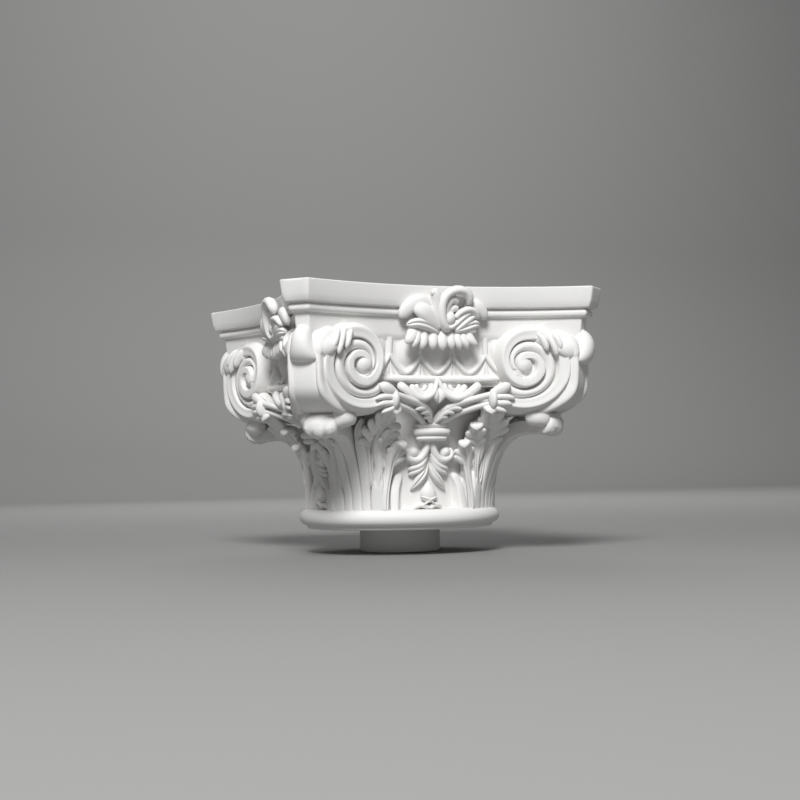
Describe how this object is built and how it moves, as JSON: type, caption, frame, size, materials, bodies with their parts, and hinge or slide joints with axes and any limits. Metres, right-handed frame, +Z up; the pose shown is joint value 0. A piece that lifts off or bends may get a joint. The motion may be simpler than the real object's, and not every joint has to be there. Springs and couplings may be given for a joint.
{
  "type": "corinthian column capital",
  "caption": "White cast Corinthian capital: hollow-sided abacus with fleurons, corner scrolls, egg band, curling acanthus leaves, foot ring and a plain locating spigot.",
  "frame": {"origin": "centre of the underside of the spigot", "axes": "+Z up along the column axis, -Y out of the face that the picture shows most fully, +X to that face's right"},
  "size_m": [0.4, 0.4, 0.314],
  "materials": {
    "casting": "smooth matte white, as cast",
    "plug": "smooth matte white, turned"
  },
  "bodies": {
    "root": {"capital": "casting", "spigot": "plug"}
  },
  "joints": []
}
